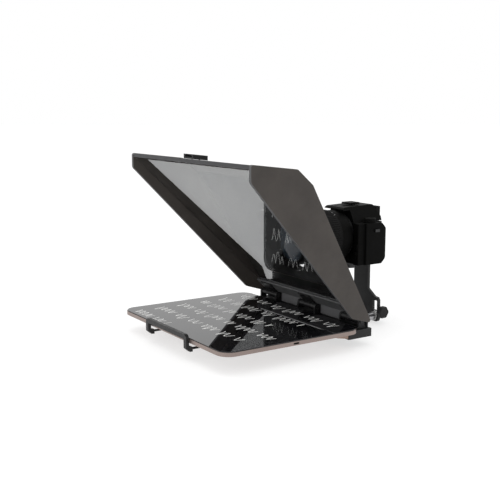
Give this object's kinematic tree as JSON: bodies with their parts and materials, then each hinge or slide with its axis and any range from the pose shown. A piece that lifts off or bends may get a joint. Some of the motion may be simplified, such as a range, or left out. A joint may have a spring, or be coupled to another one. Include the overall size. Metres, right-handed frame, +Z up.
{
  "type": "tablet teleprompter",
  "caption": "Teleprompter with a tilting hood and a 45 degree beam-splitter over a flat tablet, on a base bar with rails that carry a camera and lens.",
  "frame": {"origin": "middle of the mounting block's flat underside, where a tripod head bolts on", "axes": "+Z up, -Y towards the speaker, +Y towards the camera, +X to the right for someone facing along +Y"},
  "size_m": [0.314, 0.3577, 0.2598],
  "materials": {
    "satin_black_metal": "satin black anodised",
    "panel_grey": "satin warm dark grey",
    "cover_black": "matte black",
    "steel": "satin",
    "blackened_steel": "blackened, satin",
    "sleeve_grey": "smooth light grey",
    "knob_black": "matte moulded",
    "beam_splitter_glass": "half-silvered, polished",
    "tablet_aluminium": "fine bead blasted",
    "screen_glass": "polished black",
    "rest_rubber": "matte brown rubber",
    "black_rubber": "ribbed matte",
    "camera_black": "fine textured",
    "button_metal": "polished",
    "lens_glass": "coated, polished"
  },
  "bodies": {
    "base": {"base_bar": "satin_black_metal", "mounting_block": "satin_black_metal", "socket_large": "steel", "socket_small": "steel", "rail_left": "steel", "rail_right": "steel", "hinge_bracket_1": "satin_black_metal", "hinge_bracket_2": "satin_black_metal", "hinge_bracket_3": "satin_black_metal", "hinge_pin_1": "blackened_steel", "hinge_pin_2": "blackened_steel", "hinge_pin_3": "blackened_steel", "tablet_rest_left": "rest_rubber", "tablet_rest_right": "rest_rubber", "rest_nose_left": "black_rubber", "rest_nose_right": "black_rubber", "tablet_housing": "tablet_aluminium", "tablet_screen": "screen_glass"},
    "clip": {"front_clip": "satin_black_metal", "clip_rod_left": "satin_black_metal", "clip_rod_right": "satin_black_metal"},
    "hood": {"hinge_leaf_1": "satin_black_metal", "hinge_leaf_2": "satin_black_metal", "hinge_leaf_3": "satin_black_metal", "mirror_lip": "satin_black_metal", "beam_splitter": "beam_splitter_glass", "side_panel_left": "panel_grey", "side_panel_right": "panel_grey", "top_panel": "panel_grey", "rear_cover": "cover_black", "cover_sleeve": "cover_black", "accessory_shoe": "satin_black_metal", "shoe_screw_1": "blackened_steel", "shoe_screw_2": "blackened_steel"},
    "carriage": {"camera_post": "satin_black_metal", "rail_sleeve_left": "sleeve_grey", "rail_sleeve_right": "sleeve_grey", "camera_plate": "satin_black_metal", "camera_body": "camera_black", "camera_grip": "black_rubber", "viewfinder_housing": "camera_black", "eyecup": "black_rubber", "rear_display": "screen_glass", "shoe_cover": "camera_black", "strap_lug_left": "blackened_steel", "strap_lug_right": "blackened_steel", "lens_mount": "satin_black_metal", "lens_barrel": "camera_black", "lens_front_rim": "camera_black", "front_element": "lens_glass"},
    "knob_left": {"clamp_knob_left": "knob_black", "clamp_stud_left": "steel"},
    "knob_right": {"clamp_knob_right": "knob_black", "clamp_stud_right": "steel"},
    "thumb_screw": {"camera_screw": "blackened_steel"},
    "zoom": {"zoom_ring": "black_rubber"},
    "focus": {"focus_ring": "black_rubber"},
    "dial": {"mode_dial": "camera_black"},
    "shutter": {"shutter_button": "button_metal"},
    "release": {"lens_release_button": "camera_black"}
  },
  "joints": [
    {"name": "hood_tilt", "type": "hinge", "parent": "base", "child": "hood", "pos_m": [0, 0.007, 0.0335], "axis": [1, 0, 0], "range_deg": [0, 18]},
    {"name": "clip_slide", "type": "slide", "parent": "base", "child": "clip", "axis": [0, -1, 0], "range_m": [0, 0.02]},
    {"name": "carriage_slide", "type": "slide", "parent": "base", "child": "carriage", "axis": [0, 1, 0], "range_m": [-0.005, 0.009]},
    {"name": "clamp_left_turn", "type": "hinge", "parent": "carriage", "child": "knob_left", "pos_m": [-0.0408, 0.109, 0.0178], "axis": [-1, 0, 0], "continuous": true},
    {"name": "clamp_right_turn", "type": "hinge", "parent": "carriage", "child": "knob_right", "pos_m": [0.0408, 0.109, 0.0178], "axis": [1, 0, 0], "continuous": true},
    {"name": "camera_screw_turn", "type": "hinge", "parent": "carriage", "child": "thumb_screw", "pos_m": [0, 0.083, 0.0892], "axis": [0, 0, 1], "continuous": true},
    {"name": "zoom_turn", "type": "hinge", "parent": "carriage", "child": "zoom", "pos_m": [0, 0.0267, 0.133], "axis": [0, -1, 0], "range_deg": [0, 75]},
    {"name": "focus_turn", "type": "hinge", "parent": "carriage", "child": "focus", "pos_m": [0, 0.0031, 0.133], "axis": [0, -1, 0], "range_deg": [-60, 60]},
    {"name": "mode_dial_turn", "type": "hinge", "parent": "carriage", "child": "dial", "pos_m": [0.04, 0.087, 0.1538], "axis": [0, 0, 1], "continuous": true},
    {"name": "shutter_press", "type": "slide", "parent": "carriage", "child": "shutter", "axis": [0, 0, -1], "range_m": [0, 0.0008], "stiffness_N_per_m": 600, "springref_m": -0.001},
    {"name": "lens_release_press", "type": "slide", "parent": "carriage", "child": "release", "axis": [0, 1, 0], "range_m": [0, 0.0015], "stiffness_N_per_m": 400, "springref_m": -0.001}
  ]
}
